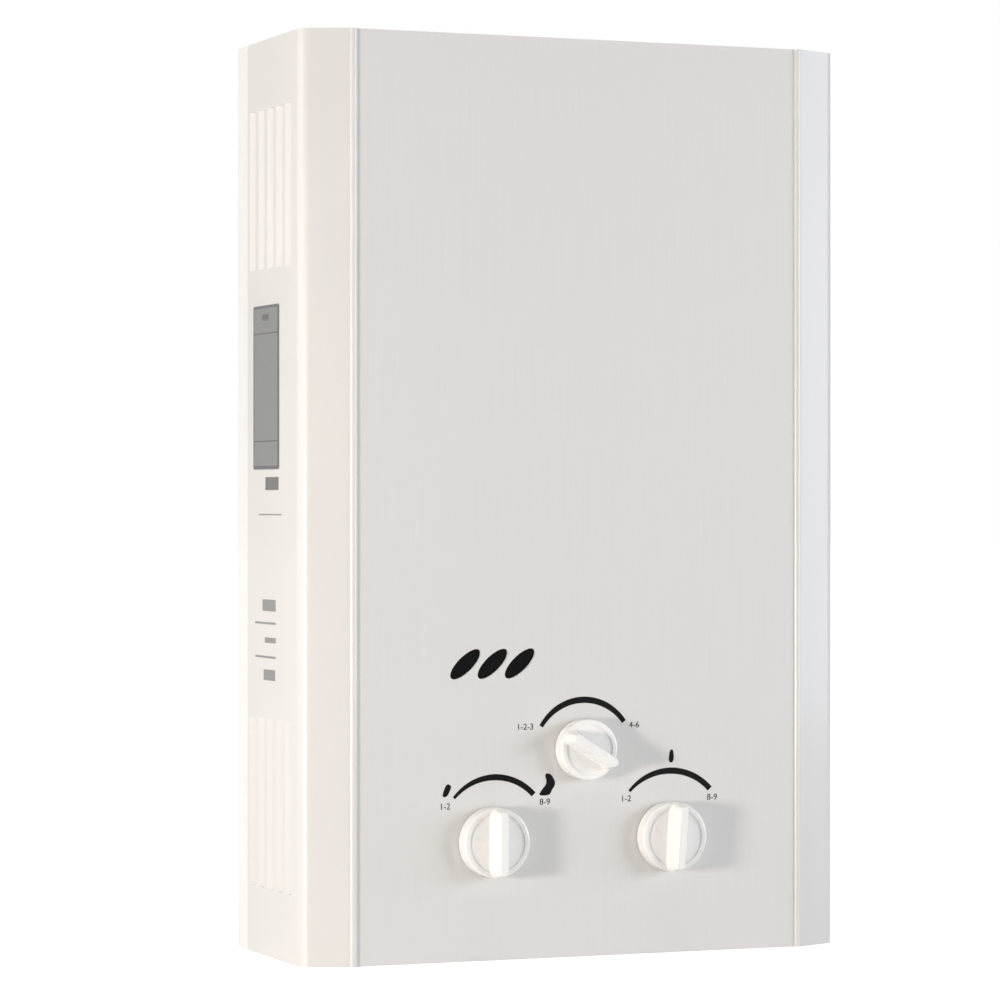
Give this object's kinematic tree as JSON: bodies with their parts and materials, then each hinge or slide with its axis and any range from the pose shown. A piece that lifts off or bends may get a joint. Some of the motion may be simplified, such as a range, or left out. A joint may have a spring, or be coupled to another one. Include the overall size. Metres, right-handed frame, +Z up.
{
  "type": "gas water heater",
  "caption": "Wall-hung instant gas water heater: louvred steel case with knobs and sight window over a burner, copper heat exchanger, gas and water valves and a flue.",
  "frame": {"origin": "centre of the bounding box on the lower rim of the case", "axes": "+Z up the case, -Y out of the front panel, +Y to the wall, +X to the right seen from the front"},
  "size_m": [0.326, 0.1404, 0.515],
  "materials": {
    "white_enamel": "gloss",
    "case_steel": "gloss",
    "brushed_panel": "brushed",
    "white_plastic": "gloss",
    "dark_glass": "gloss",
    "galvanised_steel": "satin",
    "zinc_steel": "satin",
    "burner_steel": "satin",
    "cast_aluminium": "satin",
    "brass": "satin",
    "copper": "satin",
    "rubber": "matte",
    "lead_rubber": "matte",
    "ceramic": "gloss",
    "black_plastic": "matte",
    "battery_label": "gloss"
  },
  "bodies": {
    "case": {"back_tray": "case_steel", "batteries": "battery_label", "battery_box": "black_plastic", "battery_contacts": "zinc_steel", "bottom_plate": "galvanised_steel", "burner_bars": "burner_steel", "burner_frame": "galvanised_steel", "casing_screws": "zinc_steel", "chamber_brackets": "galvanised_steel", "cold_pipe": "copper", "combustion_chamber": "copper", "diaphragm": "rubber", "door_hinge": "zinc_steel", "electrode_bracket": "galvanised_steel", "electrodes": "ceramic", "exchanger_fins": "copper", "exchanger_shell": "copper", "exchanger_tube": "copper", "flue_collar": "galvanised_steel", "flue_hood": "galvanised_steel", "front_casing": "white_enamel", "front_panel": "brushed_panel", "gas_inlet_nipple": "brass", "gas_link_pipe": "cast_aluminium", "gas_manifold": "cast_aluminium", "gas_solenoid": "zinc_steel", "gas_valve_body": "cast_aluminium", "gas_valve_cover": "cast_aluminium", "hot_outlet_nipple": "brass", "hot_pipe": "copper", "igniter_box": "black_plastic", "injectors": "brass", "inlet_filter": "zinc_steel", "micro_switch": "black_plastic", "overheat_thermostat": "zinc_steel", "pipe_nuts": "brass", "relief_plug": "brass", "season_valve_body": "cast_aluminium", "sight_frame": "zinc_steel", "sight_glass": "dark_glass", "switch_bracket": "galvanised_steel", "valve_screws": "zinc_steel", "water_inlet_nipple": "brass", "water_valve_body": "brass", "water_valve_cover": "brass", "wiring": "lead_rubber"},
    "gas_knob": {"gas_knob": "white_plastic", "gas_spindle": "brass", "gas_knob_clip": "zinc_steel"},
    "water_knob": {"water_knob": "white_plastic", "water_spindle": "brass", "water_knob_clip": "zinc_steel"},
    "season_knob": {"season_knob": "white_plastic", "season_spindle": "brass", "season_knob_clip": "zinc_steel"},
    "battery_door": {"battery_door": "black_plastic", "door_contact": "zinc_steel"},
    "linkage_rod": {"linkage_rod": "zinc_steel"},
    "switch_lever": {"switch_lever": "zinc_steel"},
    "solenoid_plunger": {"solenoid_plunger": "zinc_steel"}
  },
  "joints": [
    {"name": "gas_knob_turn", "type": "hinge", "parent": "case", "child": "gas_knob", "pos_m": [-0.054, -0.0525, 0.066], "axis": [0, 1, 0], "range_deg": [-50, 50]},
    {"name": "water_knob_turn", "type": "hinge", "parent": "case", "child": "water_knob", "pos_m": [0.054, -0.0525, 0.066], "axis": [0, 1, 0], "range_deg": [-50, 42]},
    {"name": "season_knob_turn", "type": "hinge", "parent": "case", "child": "season_knob", "pos_m": [0.0015, -0.0525, 0.1165], "axis": [0, 1, 0], "range_deg": [0, 116]},
    {"name": "battery_door_swing", "type": "hinge", "parent": "case", "child": "battery_door", "pos_m": [0.11535, -0.00055, 0.0415], "axis": [1, 0, 0], "range_deg": [0, 90]},
    {"name": "linkage_slide", "type": "slide", "parent": "case", "child": "linkage_rod", "axis": [-1, 0, 0], "range_m": [0, 0.004], "stiffness_N_per_m": 500, "springref_m": -0.002},
    {"name": "switch_lever_tip", "type": "hinge", "parent": "case", "child": "switch_lever", "pos_m": [0, 0.01825, 0.077], "axis": [0, 1, 0], "range_deg": [0, 36.5]},
    {"name": "solenoid_pull", "type": "slide", "parent": "case", "child": "solenoid_plunger", "axis": [0, 0, 1], "range_m": [0, 0.003]}
  ],
  "couplings": [
    {"joint": "switch_lever_tip", "follows": "linkage_slide", "rad_per_m": 157.08}
  ]
}
